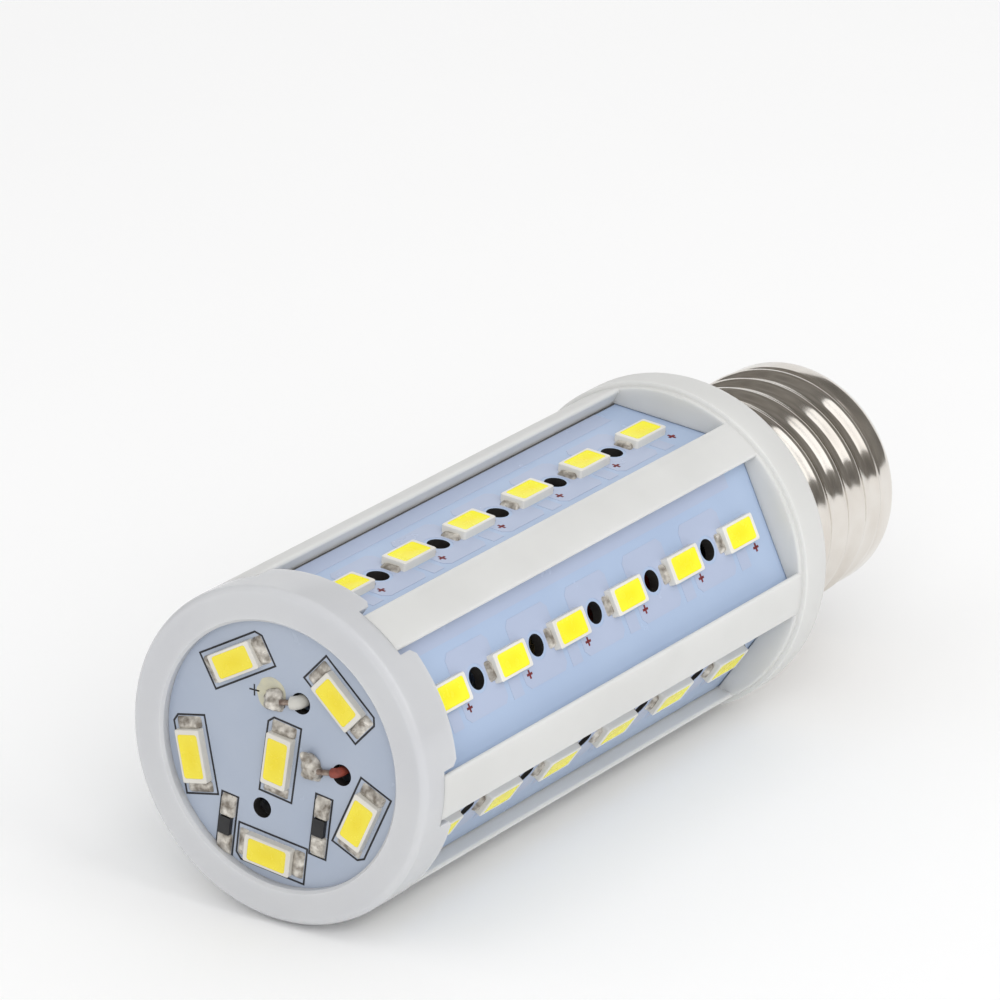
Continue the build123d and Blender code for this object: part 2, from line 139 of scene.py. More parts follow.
# Solder joints, flux and lead ends on the end board
JOINTS = ((-0.8, 5.6), (3.7, -0.9))
BLOB_RADIUS = 1.2
BLOB_FLATNESS = 0.9
BLOB_WAVES = ((1100, 0.28), (2600, 0.1))
SPIKE_WAY = (-0.25, 0.85, 0.45)
SPIKE_SHARPNESS = 4
SPIKE_REACH = 1.1
FLUX = (-1.35, 6.15)
FLUX_RADIUS = 1.75
FLUX_SIDES = 48
FLUX_WAVE = 0.13
FLUX_WAVE_SCALE = 1.7
FLUX_WAVE_LEVEL = 0.3
WIRE_HOLES = ((2.05, 5.98), (6.85, -0.5))
WIRE_SIDES = 16
LEAD_DEPTH = 9.0
SLEEVE_RADII = (0.72, 0.52)
SLEEVE_TURN = -0.9
SLEEVE_REACH = 0.75
SLEEVE_HEIGHT = 0.28
SLEEVE_PULLS = (0.8, 0.6)
SLEEVE_STEPS = 10
STRAND_RADIUS = 0.3
STRAND_HEIGHT = 0.55
STRAND_OVERLAP = 0.2

# Screw shell
NECK = 79.119
THREAD_CREST = 13.1
THREAD_DEPTH = 0.8
THREAD_NARROWING = 1.25
THREAD_PITCH = 3.629
THREAD_LENGTH = 16.0
THREAD_LEAD_IN = 0.4
THREAD_LEAD_OUT = 0.6
THREAD_FADE = 2.2
THREAD_BLEND = 0.3
RIM_LENGTH = 1.6
BAND_STEP = 0.15
BAND_LENGTH = 1.5
BAND_SLOPE = 1.4
BASE_ROUND = 1.5
BASE_LIP = 2.75
BASE_STEPS = 8
SHEET = 0.35
RIM_ROUND = 0.12
SHELL_STEP = 0.1
SHELL_SIDES = 144

# Seams on the outside: places in the part's source, and where they show
SKIN_RADIUS = 16.3
STATION_SLACK = 0.02
COLLAR_STEP = ((71.5, 72.2), (71.34, 71.72))
CAP_SEAM = ((3.4, 3.4), (3.46, 3.46))

# Camera, from the photo's perspective: degrees, metres and millimetres of lens
CAMERA_TURN = 33.692
CAMERA_RISE = 20.465
CAMERA_PLACE = (0.386332, -0.539121, 0.274896)
CAMERA_LENS = 257.827
CAMERA_SENSOR = 36
CAMERA_NEAR = 0.01

# Studio, in metres
FLOOR_HALF = 4
ROOM_RADIUS = 3.5
CARD_OUTLINE = (
    (-2.0, 0.9, 0),
    (0.5, 1.82, 0),
    (0.5, 1.82, 0.4),
    (-0.45, 1.4704, 0.95),
    (-2.0, 0.9, 1.15),
)
WORLD_STRENGTH = 0.79
FRONT_LIGHT_PLACE = (1.557, -2.144, 1.409)
FRONT_LIGHT_TARGET = (0, 0, 0.02)
FRONT_LIGHT_SIZE = (1.8, 1.8)
FRONT_LIGHT_POWER = 29.0
SOFTBOX_PLACE = (0.63, -0.05, 0.67)
SOFTBOX_TARGET = (0, 0.02, 0.02)
SOFTBOX_SIZE = (0.5, 0.85)
SOFTBOX_POWER = 1.5

# Finishes: spreads of the noise that are used, and strength of the relief
PATCH_DETAIL = 3.0
PATCH_SPREAD = (0.35, 0.65)
GRAIN_DETAIL = 4.0
GRAIN_SPREAD = (0.3, 0.7)
RELIEF_STRENGTH = 0.5
CHIP_REACH = (0.12, 0.42)
CHIP_DEPTH = 0.5

# Meshes: corners closer than this, in metres, are one; a board's faces that look its way by less
# than this share are its walls; and the degrees up to which edges shade smoothly
MERGE_DISTANCE = 1e-6
WALL_LIMIT = 0.5
CRISP = 30
SLEEVE_SMOOTH = 40
SHELL_SMOOTH = 50
WINDOW_SMOOTH = 60
LUMP_SMOOTH = 60
SOLDER_SMOOTH = 70


def mm(*values):
    """Millimetres as a vector in metres."""
    return Vector(values) * MM


def paint(red, green, blue):
    """A colour given as it shows on a screen, 0 to 255, in the shader's linear values."""

    def linear(value):
        share = value / 255
        return share / 12.92 if share <= 0.04045 else ((share + 0.055) / 1.055) ** 2.4

    return (linear(red), linear(green), linear(blue), 1.0)


# Shader groups


def new_group(name, inputs, outputs):
    """An empty shader node group with these sockets, and its two end nodes."""
    group = bpy.data.node_groups.new(name, "ShaderNodeTree")
    for label, kind in inputs:
        group.interface.new_socket(label, in_out="INPUT", socket_type=f"NodeSocket{kind}")
    for label, kind in outputs:
        group.interface.new_socket(label, in_out="OUTPUT", socket_type=f"NodeSocket{kind}")
    return group, group.nodes.new("NodeGroupInput"), group.nodes.new("NodeGroupOutput")


def surface_group():
    """Faint patches of two tones, uneven gloss, and a fine relief, all fixed to the piece."""
    group, given, result = new_group(
        "Surface grain",
        (
            ("Tone", "Color"),
            ("Shade", "Color"),
            ("Stretch", "Vector"),
            ("Patch Scale", "Float"),
            ("Grain Scale", "Float"),
            ("Smooth", "Float"),
            ("Rough", "Float"),
        ),
        (("Color", "Color"), ("Roughness", "Float"), ("Height", "Float")),
    )
    make = group.nodes.new
    join = group.links.new
    place = make("ShaderNodeTexCoord")
    stretched = make("ShaderNodeVectorMath")
    stretched.operation = "MULTIPLY"
    join(place.outputs["Object"], stretched.inputs[0])
    join(given.outputs["Stretch"], stretched.inputs[1])
    patches = make("ShaderNodeTexNoise")
    patches.inputs["Detail"].default_value = PATCH_DETAIL
    join(stretched.outputs["Vector"], patches.inputs["Vector"])
    join(given.outputs["Patch Scale"], patches.inputs["Scale"])
    spread = make("ShaderNodeMapRange")
    spread.inputs["From Min"].default_value = PATCH_SPREAD[0]
    spread.inputs["From Max"].default_value = PATCH_SPREAD[1]
    join(patches.outputs["Fac"], spread.inputs["Value"])
    tones = make("ShaderNodeMix")
    tones.data_type = "RGBA"
    join(spread.outputs["Result"], tones.inputs["Factor"])
    join(given.outputs["Tone"], tones.inputs["A"])
    join(given.outputs["Shade"], tones.inputs["B"])
    grain = make("ShaderNodeTexNoise")
    grain.inputs["Detail"].default_value = GRAIN_DETAIL
    join(stretched.outputs["Vector"], grain.inputs["Vector"])
    join(given.outputs["Grain Scale"], grain.inputs["Scale"])
    gloss = make("ShaderNodeMapRange")
    gloss.inputs["From Min"].default_value = GRAIN_SPREAD[0]
    gloss.inputs["From Max"].default_value = GRAIN_SPREAD[1]
    join(grain.outputs["Fac"], gloss.inputs["Value"])
    join(given.outputs["Smooth"], gloss.inputs["To Min"])
    join(given.outputs["Rough"], gloss.inputs["To Max"])
    join(tones.outputs["Result"], result.inputs["Color"])
    join(gloss.outputs["Result"], result.inputs["Roughness"])
    join(grain.outputs["Fac"], result.inputs["Height"])
    return group


SURFACE = surface_group()


def finish(
    name,
    tone,
    shade,
    patch=90,
    grain=900,
    gloss=(0.3, 0.4),
    relief=0.006,
    stretch=(1, 1, 1),
    **shader,
):
    """A finish with the shared surface group; other values go straight to the shader's sockets.

    Patch and grain are noise scales per metre, gloss is a range of roughness, and relief is
    millimetres.
    """
    material = bpy.data.materials.new(name)
    material.use_nodes = True
    tree = material.node_tree
    principled = tree.nodes["Principled BSDF"]
    surface = tree.nodes.new("ShaderNodeGroup")
    surface.node_tree = SURFACE
    surface.inputs["Tone"].default_value = paint(*tone)
    surface.inputs["Shade"].default_value = paint(*shade)
    surface.inputs["Stretch"].default_value = stretch
    surface.inputs["Patch Scale"].default_value = patch
    surface.inputs["Grain Scale"].default_value = grain
    surface.inputs["Smooth"].default_value = gloss[0]
    surface.inputs["Rough"].default_value = gloss[1]
    tree.links.new(surface.outputs["Color"], principled.inputs["Base Color"])
    tree.links.new(surface.outputs["Roughness"], principled.inputs["Roughness"])
    if relief:
        bump = tree.nodes.new("ShaderNodeBump")
        bump.inputs["Strength"].default_value = RELIEF_STRENGTH
        bump.inputs["Distance"].default_value = relief * MM
        tree.links.new(surface.outputs["Height"], bump.inputs["Height"])
        tree.links.new(bump.outputs["Normal"], principled.inputs["Normal"])
    for socket, value in shader.items():
        principled.inputs[socket.replace("_", " ")].default_value = value
    return material


def phosphor_finish(name, tone, shade, chips):
    """Yellow silicone that looks deeper over the chips in the middle of each window."""
    material = finish(name, tone, shade, gloss=(0.22, 0.3), relief=0)
    tree = material.node_tree
    principled = tree.nodes["Principled BSDF"]
    surface_color = principled.inputs["Base Color"].links[0].from_socket
    window = tree.nodes.new("ShaderNodeUVMap")
    window.uv_map = "Window"
    centred = tree.nodes.new("ShaderNodeVectorMath")
    centred.operation = "SUBTRACT"
    centred.inputs[1].default_value = (0.5, 0.5, 0)
    reach = tree.nodes.new("ShaderNodeVectorMath")
    reach.operation = "LENGTH"
    middle = tree.nodes.new("ShaderNodeMapRange")
    middle.inputs["From Min"].default_value = CHIP_REACH[0]
    middle.inputs["From Max"].default_value = CHIP_REACH[1]
    middle.inputs["To Min"].default_value = CHIP_DEPTH
    middle.inputs["To Max"].default_value = 0.0
    blend = tree.nodes.new("ShaderNodeMix")
    blend.data_type = "RGBA"
    blend.inputs["B"].default_value = paint(*chips)
    tree.links.new(window.outputs["UV"], centred.inputs[0])
    tree.links.new(centred.outputs["Vector"], reach.inputs[0])
    tree.links.new(reach.outputs["Value"], middle.inputs["Value"])
    tree.links.new(middle.outputs["Result"], blend.inputs["Factor"])
    tree.links.new(surface_color, blend.inputs["A"])
    tree.links.new(blend.outputs["Result"], principled.inputs["Base Color"])
    return material


# White plastic lets light through a little
MILKY = {
    "Subsurface_Weight": 0.6,
    "Subsurface_Scale": 1.5 * MM,
    "Subsurface_Radius": (1, 1, 1),
}
# Values that several finishes share
MASK = {"grain": 240, "gloss": (0.2, 0.28), "relief": 0}
RESIN = {"gloss": (0.3, 0.4), "relief": 0.002}
PAPER = {"patch": 3, "grain": 60, "gloss": (0.85, 0.9)}

FINISH = {
    "body_plastic": finish(
        "Satin white body",
        (211, 211, 209),
        (207, 207, 205),
        grain=240,
        gloss=(0.34, 0.42),
        relief=0,
        Specular_IOR_Level=0.35,
        **MILKY,
    ),
    "cap_plastic": finish(
        "Satin white cap",
        (199, 200, 202),
        (195, 196, 199),
        grain=240,
        gloss=(0.14, 0.19),
        relief=0,
        **MILKY,
    ),
    "board": finish("Blue-white solder mask", (172, 190, 217), (168, 186, 214), **MASK),
    "led_package": finish("White LED resin", (230, 228, 221), (220, 217, 209), **RESIN),
    "led_phosphor": phosphor_finish(
        "Yellow phosphor", (248, 243, 46), (247, 236, 34), (246, 226, 10)
    ),
    "solder": finish(
        "Bright solder",
        (222, 217, 208),
        (128, 120, 110),
        patch=1100,
        grain=1700,
        gloss=(0.25, 0.55),
        relief=0.12,
        Metallic=0.35,
    ),
    "resistor_body": finish("Black resistor coat", (36, 36, 38), (28, 28, 30), gloss=(0.4, 0.55)),
    "wire": finish("Red wire", (150, 72, 58), (112, 54, 44), patch=1200, gloss=(0.4, 0.55)),
    "plated_shell": finish(
        "Nickel-plated sheet",
        (232, 228, 222),
        (222, 216, 208),
        patch=160,
        grain=330,
        gloss=(0.1, 0.18),
        relief=0.012,
        stretch=(1, 2, 1),
        Metallic=1.0,
    ),
    "insulator_black": finish("Black insulator", (24, 24, 27), (18, 18, 21), gloss=(0.12, 0.2)),
    "contact_metal": finish(
        "Pressed contact", (206, 188, 146), (188, 168, 126), gloss=(0.24, 0.36), Metallic=1.0
    ),
    "driver_board": finish("Bare laminate", (206, 178, 120), (192, 162, 104), gloss=(0.45, 0.6)),
    "film_case": finish("Dipped resin", (160, 58, 36), (142, 48, 30), gloss=(0.25, 0.35)),
    "can_sleeve": finish("Shrink sleeve", (38, 38, 52), (30, 30, 44), gloss=(0.28, 0.4)),
    "fuse_coat": finish("Green lacquer", (112, 156, 128), (96, 140, 112), gloss=(0.4, 0.5)),
}
COPPER_FINISH = finish("Mask over copper", (177, 188, 212), (174, 185, 209), **MASK)
RED_PRINT = finish("Red print", (128, 34, 34), (108, 26, 28), patch=500, gloss=(0.45, 0.6))
BLACK_PRINT = finish("Black print", (24, 24, 28), (36, 36, 40), patch=600, gloss=(0.45, 0.6))
# Board edges and hole walls: laminate, kept near black as painted shade in the holes
LAMINATE_AND_HOLE_SHADE_FINISH = finish("Cut laminate", (46, 44, 42), (34, 32, 31), patch=600, gloss=(0.6, 0.8))
# Painted shade: the dark line where the rib overhangs a board's edge
PAINTED_GAP_SHADE_FINISH = finish(
    "Shaded board edge", (88, 85, 84), (72, 70, 70), gloss=(0.5, 0.6), relief=0.004
)
FLUX_FINISH = finish("Dried flux", (192, 188, 164), (180, 178, 162), patch=700, gloss=(0.12, 0.3))
# The same yellow phosphor, darker on the end board's LEDs: painted shade of the front face
SHADED_END_PHOSPHOR = phosphor_finish(
    "Deep yellow phosphor", (234, 218, 60), (230, 212, 52), (226, 204, 14)
)
END_PACKAGE = finish("Shaded LED resin", (216, 213, 205), (206, 202, 193), **RESIN)
END_BOARD_FINISH = finish("Grey-white solder mask", (166, 175, 190), (160, 170, 187), **MASK)
WHITE_WIRE = finish("White wire", (206, 204, 196), (190, 188, 182), gloss=(0.35, 0.5))
STRAND_FINISH = finish(
    "Tinned strand", (158, 142, 130), (104, 84, 76), patch=1500, gloss=(0.3, 0.5), Metallic=0.4
)


# Meshes


def mesh_object(name, mesh):
    """A new object for this mesh, in the scene."""
    obj = bpy.data.objects.new(name, mesh)
    bpy.context.scene.collection.objects.link(obj)
    return obj


def mesh_from(name, build):
    """A new mesh, filled by the given function."""
    bm = bmesh.new()
    build(bm)
    mesh = bpy.data.meshes.new(name)
    bm.to_mesh(mesh)
    bm.free()
    return mesh


def smooth_by_angle(mesh, limit=CRISP):
    """Smooth shading, with edges sharper than the limit kept crisp."""
    bm = bmesh.new()
    bm.from_mesh(mesh)
    for face in bm.faces:
        face.smooth = True
    sharp = math.radians(limit)
    for edge in bm.edges:
        edge.smooth = len(edge.link_faces) == 2 and edge.calc_face_angle(0) < sharp
    bm.to_mesh(mesh)
    bm.free()


def put_on(obj, slot, *replaced):
    """Sets a finished piece on the root body and hides the nodes that it stands for. The slot is
    not used.
    """
    if replaced:
        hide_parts(*replaced)
    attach(obj, "root")


def set_stations(mesh, old, new):
    """Moves the outer corners of one stretch along the lamp into another stretch.

    Stretches are millimetres from the front.
    """
    for vert in mesh.vertices:
        station = (vert.co.y - FRONT_Y) / MM
        outside = math.hypot(vert.co.x, vert.co.z - AXIS_Z) / MM > SKIN_RADIUS
        if outside and old[0] - STATION_SLACK < station < old[1] + STATION_SLACK:
            share = (station - old[0]) / max(old[1] - old[0], STATION_SLACK)
            vert.co.y = FRONT_Y + (new[0] + share * (new[1] - new[0])) * MM


def dressed_copy(node, slot, out=None, coat=None, shift=None):
    """A copy of a node with merged corners and smooth shading, in place of the node.

    For a board, out is the way that its face looks: its cut edges and hole walls take a
    near-black laminate finish, which is partly painted shade of the holes. A shift is two
    stretches of stations: outer corners in the first are set into the second.
    """
    mesh = nodes[node].data.copy()
    mesh.name = f"{node}_dressed"
    bm = bmesh.new()
    bm.from_mesh(mesh)
    bmesh.ops.remove_doubles(bm, verts=bm.verts, dist=MERGE_DISTANCE)
    bm.to_mesh(mesh)
    bm.free()
    if shift:
        set_stations(mesh, *shift)
    mesh.normals_split_custom_set([(0, 0, 0)] * len(mesh.loops))
    smooth_by_angle(mesh)
    mesh.materials.clear()
    mesh.materials.append(coat or FINISH[slot])
    if out:
        # Cut edges and hole walls take the near-black laminate, partly painted shade of the holes
        mesh.materials.append(LAMINATE_AND_HOLE_SHADE_FINISH)
        for face in mesh.polygons:
            if abs(face.normal.dot(out)) < WALL_LIMIT:
                face.material_index = 1
    put_on(mesh_object(f"{node}_dressed", mesh), slot, node)


def rounded_outline(length, width, radius, steps=4):
    """Points of a rectangle with rounded corners, anticlockwise, in millimetres."""
    points = []
    for corner, (side_x, side_y) in enumerate(((1, 1), (-1, 1), (-1, -1), (1, -1))):
        for step in range(steps + 1):
            angle = math.radians(90 * corner + 90 * step / steps)
            x = side_x * (length / 2 - radius) + radius * math.cos(angle)
            y = side_y * (width / 2 - radius) + radius * math.sin(angle)
            points.append((x, y))
    return points


def join_rings(bm, rings):
    """Faces from each ring of corners to the next. The rings have equal counts."""
    for low, high in zip(rings, rings[1:]):
        for index in range(len(low)):
            after = (index + 1) % len(low)
            bm.faces.new((low[index], low[after], high[after], high[index]))


def close_rings(bm, rings):
    """One closed skin from rings of corners, with a face over the first and the last."""
    join_rings(bm, rings)
    bm.faces.new(list(reversed(rings[0])))
    bm.faces.new(rings[-1])


def level_rings(bm, levels):
    """A ring of corners for each outline at its height, in millimetres."""
    return [[bm.verts.new(mm(x, y, height)) for x, y in outline] for outline, height in levels]


def stack_levels(bm, levels):
    """Joins outlines of equal count, level by level, into one closed skin."""
    close_rings(bm, level_rings(bm, levels))


def band_from(bm, outside, inside, height):
    """A flat closed band between two outlines of equal count."""
    levels = ((outside, 0), (outside, height), (inside, height), (inside, 0))
    rings = level_rings(bm, levels)
    join_rings(bm, rings + rings[:1])


def piece_from(name, build, limit=CRISP):
    """A pattern piece: a mesh filled by the given function, kept for a tree to repeat."""
    mesh = mesh_from(name, build)
    smooth_by_angle(mesh, limit)
    return mesh_object(name, mesh)


def build_package(bm):
    """An LED's white package with the recess for its yellow window."""
    outer = rounded_outline(LED_LENGTH, LED_WIDTH, LED_CORNER)
    top = rounded_outline(LED_LENGTH - 2 * LED_EDGE, LED_WIDTH - 2 * LED_EDGE, LED_CORNER)
    recess = rounded_outline(GLOW_LENGTH, GLOW_WIDTH, GLOW_CORNER)
    stack_levels(
        bm,
        (
            (outer, 0),
            (outer, LED_HEIGHT - LED_EDGE),
            (top, LED_HEIGHT),
            (recess, LED_HEIGHT),
            (recess, LED_HEIGHT - GLOW_DEPTH),
        ),
    )


def build_window(bm):
    """The yellow window: silicone that sinks a little towards the middle."""
    low = LED_HEIGHT - GLOW_DEPTH + GLOW_GAP
    high = LED_HEIGHT - GLOW_GAP
    wall = rounded_outline(GLOW_LENGTH - 2 * GLOW_GAP, GLOW_WIDTH - 2 * GLOW_GAP, GLOW_CORNER)
    bowl = rounded_outline(GLOW_LENGTH * BOWL_SHARE[0], GLOW_WIDTH * BOWL_SHARE[1], GLOW_CORNER)
    stack_levels(bm, ((wall, low), (wall, high), (bowl, high - MENISCUS)))
    layer = bm.loops.layers.uv.new("Window")
    for face in bm.faces:
        for loop in face.loops:
            along = loop.vert.co.x / MM / GLOW_LENGTH + 0.5
            across = loop.vert.co.y / MM / GLOW_WIDTH + 0.5
            loop[layer].uv = (along, across)


def solder_builder(chip_length, size):
    """Solder at both ends of a chip: uneven fillets that climb its end faces."""
    length, width, height = size

    def build(bm):
        foot = rounded_outline(length, width, SOLDER_FOOT_CORNER)
        waist = rounded_outline(length * SOLDER_WAIST[0], width * SOLDER_WAIST[1], SOLDER_WAIST[2])
        crown = rounded_outline(length * SOLDER_CROWN[0], width * SOLDER_CROWN[1], SOLDER_CROWN[2])
        for side in (-1, 1):
            middle = side * (chip_length + length) / 2
            lean = side * length * SOLDER_LEAN
            levels = []
            for outline, level, share in (
                (foot, 0, 0),
                (waist, height / 2, SOLDER_WAIST_LEAN),
                (crown, height, 1),
            ):
                shift = lean * share
                levels.append(([(x - shift + middle, y) for x, y in outline], level))
            start = len(bm.verts)
            stack_levels(bm, levels)
            bm.verts.ensure_lookup_table()
            for vert in bm.verts[start:]:
                if vert.co.z > 0:
                    spot = vert.co * SOLDER_NOISE_SCALE + Vector((side, 0, 0))
                    vert.co += noise.noise_vector(spot) * SOLDER_NOISE * MM

    return build


def build_pad(bm):
    """Copper between two LEDs, with a clear ring round the board's hole."""
    outside = []
    inside = []
    for step in range(PAD_SIDES):
        angle = 2 * math.pi * (step + 0.5) / PAD_SIDES
        x = math.cos(angle)
        y = math.sin(angle)
        reach = min(PAD_LENGTH / 2 / abs(x), PAD_WIDTH / 2 / abs(y))
        outside.append((x * reach, y * reach))
        inside.append((x * PAD_CLEAR_RADIUS, y * PAD_CLEAR_RADIUS))
    band_from(bm, outside, inside, COPPER_RELIEF)


def build_plate(length, width, height):
    """A flat plate with its corners cut a little."""

    def build(bm):
        outline = rounded_outline(length, width, PLATE_CORNER, steps=1)
        stack_levels(bm, ((outline, 0), (outline, height)))

    return build


def build_plus(reach, line, height):
    """A printed plus sign."""

    def build(bm):
        near = line / 2
        far = reach / 2
        outline = []
        for turn_x, turn_y in ((1, 0), (0, 1), (-1, 0), (0, -1)):
            for along, across in ((far, -near), (far, near), (near, near)):
                outline.append((along * turn_x - across * turn_y, along * turn_y + across * turn_x))
        stack_levels(bm, ((outline, 0), (outline, height)))

    return build


def build_frame_line(length, width, cut):
    """A printed outline with one cut corner, as a closed band."""

    def corners(inset):
        x = length / 2 - inset
        y = width / 2 - inset
        slope = cut - inset * CUT_INSET if cut else 0
        lower_left = [(-x, -y + slope), (-x + slope, -y)] if cut else [(-x, -y)]
        return [(x, y), (-x, y), *lower_left, (x, -y)]

    def build(bm):
        band_from(bm, corners(0), corners(PRINT_LINE), PRINT_HEIGHT)

    return build


# Trees that repeat the pattern pieces


def new_tree(name, inputs):
    """An empty tree of Geometry Nodes with these inputs, and its two end nodes."""
    tree = bpy.data.node_groups.new(name, "GeometryNodeTree")
    for label, kind in inputs:
        tree.interface.new_socket(label, in_out="INPUT", socket_type=f"NodeSocket{kind}")
    tree.interface.new_socket("Geometry", in_out="OUTPUT", socket_type="NodeSocketGeometry")
    return tree, tree.nodes.new("NodeGroupInput"), tree.nodes.new("NodeGroupOutput")


def close_tree(tree, given, result, points, turn=None):
    """Sets the piece on the points, makes it real, turns it into place and gives it its finish."""
    make = tree.nodes.new
    join = tree.links.new
    piece = make("GeometryNodeObjectInfo")
    join(given.outputs["Piece"], piece.inputs["Object"])
    copies = make("GeometryNodeInstanceOnPoints")
    join(points, copies.inputs["Points"])
    join(piece.outputs["Geometry"], copies.inputs["Instance"])
    if turn:
        join(turn, copies.inputs["Rotation"])
    real = make("GeometryNodeRealizeInstances")
    join(copies.outputs["Instances"], real.inputs["Geometry"])
    turned = make("FunctionNodeEulerToRotation")
    join(given.outputs["Turn"], turned.inputs["Euler"])
    placed = make("GeometryNodeTransform")
    join(real.outputs["Geometry"], placed.inputs["Geometry"])
    join(given.outputs["Place"], placed.inputs["Translation"])
    join(turned.outputs["Rotation"], placed.inputs["Rotation"])
    coat = make("GeometryNodeSetMaterial")
    join(placed.outputs["Geometry"], coat.inputs["Geometry"])
    join(given.outputs["Finish"], coat.inputs["Material"])
    join(coat.outputs["Geometry"], result.inputs["Geometry"])


def row_tree():
    """Copies of a piece in a straight row."""
    tree, given, result = new_tree(
        "Row of pieces",
        (
            ("Piece", "Object"),
            ("Count", "Int"),
            ("First", "Vector"),
            ("Step", "Vector"),
            ("Place", "Vector"),
            ("Turn", "Vector"),
            ("Finish", "Material"),
        ),
    )
    row = tree.nodes.new("GeometryNodeMeshLine")
    tree.links.new(given.outputs["Count"], row.inputs["Count"])
    tree.links.new(given.outputs["First"], row.inputs["Start Location"])
    tree.links.new(given.outputs["Step"], row.inputs["Offset"])
    close_tree(tree, given, result, row.outputs["Mesh"])
    return tree


def ring_tree():
    """Copies of a piece in a ring, each turned with its place in the ring."""
    tree, given, result = new_tree(
        "Ring of pieces",
        (
            ("Piece", "Object"),
            ("Count", "Int"),
            ("Radius", "Float"),
            ("Start Angle", "Float"),
            ("Place", "Vector"),
            ("Turn", "Vector"),
            ("Finish", "Material"),
        ),
    )
    make = tree.nodes.new
    join = tree.links.new

    def math_node(operation, first, second):
        node = make("ShaderNodeMath")
        node.operation = operation
        for socket, value in zip(node.inputs, (first, second)):
            if isinstance(value, (int, float)):
                socket.default_value = value
            else:
                join(value, socket)
        return node.outputs["Value"]

    index = make("GeometryNodeInputIndex").outputs["Index"]
    step = math_node("DIVIDE", 2 * math.pi, given.outputs["Count"])
    angle = math_node("ADD", math_node("MULTIPLY", index, step), given.outputs["Start Angle"])
    spot = make("ShaderNodeCombineXYZ")
    for operation, axis in (("COSINE", "X"), ("SINE", "Y")):
        share = math_node(operation, angle, 0)
        join(math_node("MULTIPLY", share, given.outputs["Radius"]), spot.inputs[axis])
    heading = make("ShaderNodeCombineXYZ")
    join(math_node("ADD", angle, math.pi / 2), heading.inputs["Z"])
    turn = make("FunctionNodeEulerToRotation")
    join(heading.outputs["Vector"], turn.inputs["Euler"])
    row = make("GeometryNodeMeshLine")
    join(given.outputs["Count"], row.inputs["Count"])
    ring = make("GeometryNodeSetPosition")
    join(row.outputs["Mesh"], ring.inputs["Geometry"])
    join(spot.outputs["Vector"], ring.inputs["Position"])
    close_tree(tree, given, result, ring.outputs["Geometry"], turn.outputs["Rotation"])
    return tree


ROW = row_tree()
RING = ring_tree()


def grow(name, tree, values):
    """Runs a tree with these inputs and returns its result as an object with a plain mesh."""
    carrier = mesh_object(name, bpy.data.meshes.new(name))
    modifier = carrier.modifiers.new("Nodes", "NODES")
    modifier.node_group = tree
    for socket in tree.interface.items_tree:
        if socket.in_out == "INPUT":
            modifier[socket.identifier] = values[socket.name]
    bpy.context.view_layer.update()
    evaluated = carrier.evaluated_get(bpy.context.evaluated_depsgraph_get())
    mesh = bpy.data.meshes.new_from_object(evaluated)
    carrier.modifiers.clear()
    carrier.data = mesh
    mesh.name = name
    return carrier


def join_objects(name, objects):
    """One object from several, with their finishes."""
    with bpy.context.temp_override(active_object=objects[0], selected_editable_objects=objects):
        bpy.ops.object.join()
    objects[0].name = name
    objects[0].data.name = name
    return objects[0]


# Frames of the boards: x along the lamp or to the right, y across, z out of the board's face


def strip_out(angle):
    """The way that a strip's face looks."""
    return Vector((math.sin(math.radians(angle)), 0, math.cos(math.radians(angle))))


def strip_placing(angle):
    """Place and turn of a strip's board frame; its origin is on the board's face, at the front."""
    out = strip_out(angle)
    along = Vector((0, 1, 0))
    turn = Matrix((along, out.cross(along), out)).transposed()
    return Vector((0, FRONT_Y, AXIS_Z)) + out * BOARD_FACE * MM, turn.to_euler()


def end_placing():
    """Place and turn of the end board's frame; its origin is on the axis."""
    turn = Matrix(((1, 0, 0), (0, 0, 1), (0, -1, 0))).transposed()
    return Vector((0, END_FACE_Y, AXIS_Z)), turn.to_euler()


def on_end(x, z, turn=0):
    """Matrix for a piece at this spot of the end board."""
    place, euler = end_placing()
    spot = Matrix.Translation(mm(x, z, 0)) @ Matrix.Rotation(math.radians(turn), 4, "Z")
    return Matrix.Translation(place) @ euler.to_matrix().to_4x4() @ spot


# Pattern pieces of the boards

MARK_HEIGHT = COPPER_RELIEF + PRINT_HEIGHT
RAIL_LENGTH = RAIL_END - RAIL_START
RAIL_WIDTH = BOARD_HALF - RAIL_INNER
GAP_SHADE_LENGTH = GAP_SHADE_END - RAIL_START
PIECE = {
    "package": piece_from("led_package_piece", build_package),
    "window": piece_from("led_window_piece", build_window, WINDOW_SMOOTH),
    "strip_solder": piece_from(
        "strip_solder_piece", solder_builder(LED_LENGTH, STRIP_SOLDER), SOLDER_SMOOTH
    ),
    "end_solder": piece_from(
        "end_solder_piece", solder_builder(LED_LENGTH, END_SOLDER), SOLDER_SMOOTH
    ),
    "pad": piece_from("copper_pad_piece", build_pad),
    "tab": piece_from("copper_tab_piece", build_plate(TAB_LENGTH, TAB_WIDTH, COPPER_RELIEF)),
    "rail": piece_from("copper_rail_piece", build_plate(RAIL_LENGTH, RAIL_WIDTH, COPPER_RELIEF)),
    # Painted shade of the gap under the rib, as a thin dark strip
    "bare_edge": piece_from("bare_edge_piece", build_plate(GAP_SHADE_LENGTH, GAP_SHADE_WIDTH, MARK_HEIGHT)),
    "plus": piece_from("plus_piece", build_plus(PLUS_REACH, PLUS_LINE, MARK_HEIGHT)),
    "led_print": piece_from("led_print_piece", build_frame_line(*LED_PRINT, LED_PRINT_CUT)),
}


